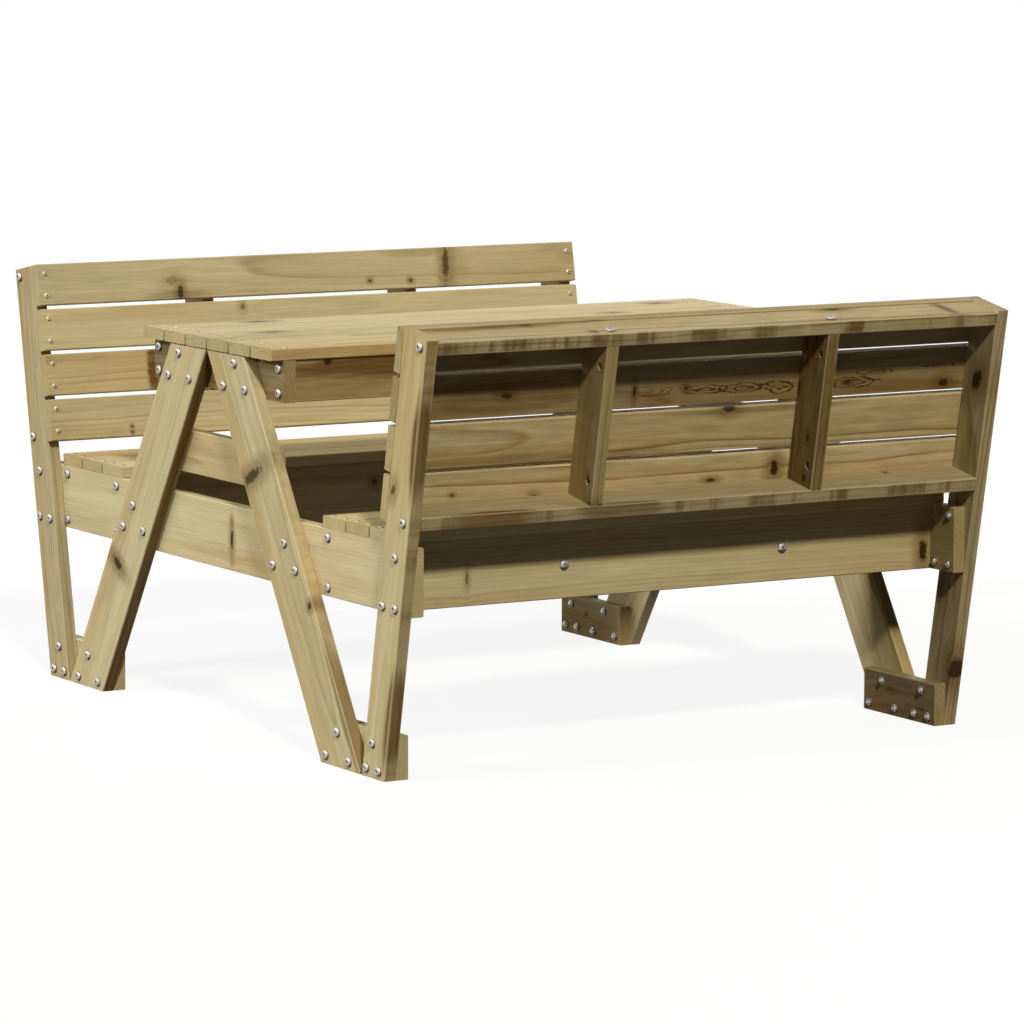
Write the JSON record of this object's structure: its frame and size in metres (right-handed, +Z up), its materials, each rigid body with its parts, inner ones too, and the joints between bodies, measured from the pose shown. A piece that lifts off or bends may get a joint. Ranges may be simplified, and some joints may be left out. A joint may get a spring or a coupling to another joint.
{
  "type": "kids picnic table",
  "caption": "Kids picnic table in planed softwood, a slatted top on splayed A-frame legs between two slatted benches whose backrests lean outwards, all bolted together.",
  "frame": {"origin": "on the ground, under the middle of the tabletop", "axes": "+X along the boards to the right end, +Y across to the back bench, +Z up"},
  "size_m": [0.9084, 1.2028, 0.5927],
  "materials": {
    "softwood": "planed, pressure treated, uncoated",
    "zinc_steel": "bright zinc plated"
  },
  "bodies": {
    "root": {"backrest_lower_rail_back": "softwood", "backrest_lower_rail_front": "softwood", "backrest_post_left_back": "softwood", "backrest_post_left_front": "softwood", "backrest_post_right_back": "softwood", "backrest_post_right_front": "softwood", "backrest_slat_back_1": "softwood", "backrest_slat_back_2": "softwood", "backrest_slat_back_3": "softwood", "backrest_slat_back_4": "softwood", "backrest_slat_front_1": "softwood", "backrest_slat_front_2": "softwood", "backrest_slat_front_3": "softwood", "backrest_slat_front_4": "softwood", "backrest_support_back_left": "softwood", "backrest_support_back_right": "softwood", "backrest_support_front_left": "softwood", "backrest_support_front_right": "softwood", "backrest_top_rail_back": "softwood", "backrest_top_rail_front": "softwood", "cap_nuts": "zinc_steel", "cross_rail_left": "softwood", "cross_rail_right": "softwood", "dowel_nuts": "zinc_steel", "foot_block_left_back": "softwood", "foot_block_left_front": "softwood", "foot_block_right_back": "softwood", "foot_block_right_front": "softwood", "joint_bolts": "zinc_steel", "lap_bolts": "zinc_steel", "leg_left_back": "softwood", "leg_left_front": "softwood", "leg_right_back": "softwood", "leg_right_front": "softwood", "leg_tie_left": "softwood", "leg_tie_right": "softwood", "seat_apron_back_inner": "softwood", "seat_apron_back_outer": "softwood", "seat_apron_front_inner": "softwood", "seat_apron_front_outer": "softwood", "seat_board_back_1": "softwood", "seat_board_back_2": "softwood", "seat_board_back_3": "softwood", "seat_board_front_1": "softwood", "seat_board_front_2": "softwood", "seat_board_front_3": "softwood", "seat_joist_back_left": "softwood", "seat_joist_back_right": "softwood", "seat_joist_front_left": "softwood", "seat_joist_front_right": "softwood", "table_apron_back": "softwood", "table_apron_front": "softwood", "table_board_1": "softwood", "table_board_2": "softwood", "table_board_3": "softwood", "table_board_4": "softwood", "table_board_5": "softwood", "table_board_6": "softwood", "table_cleat_left": "softwood", "table_cleat_right": "softwood"}
  },
  "joints": []
}
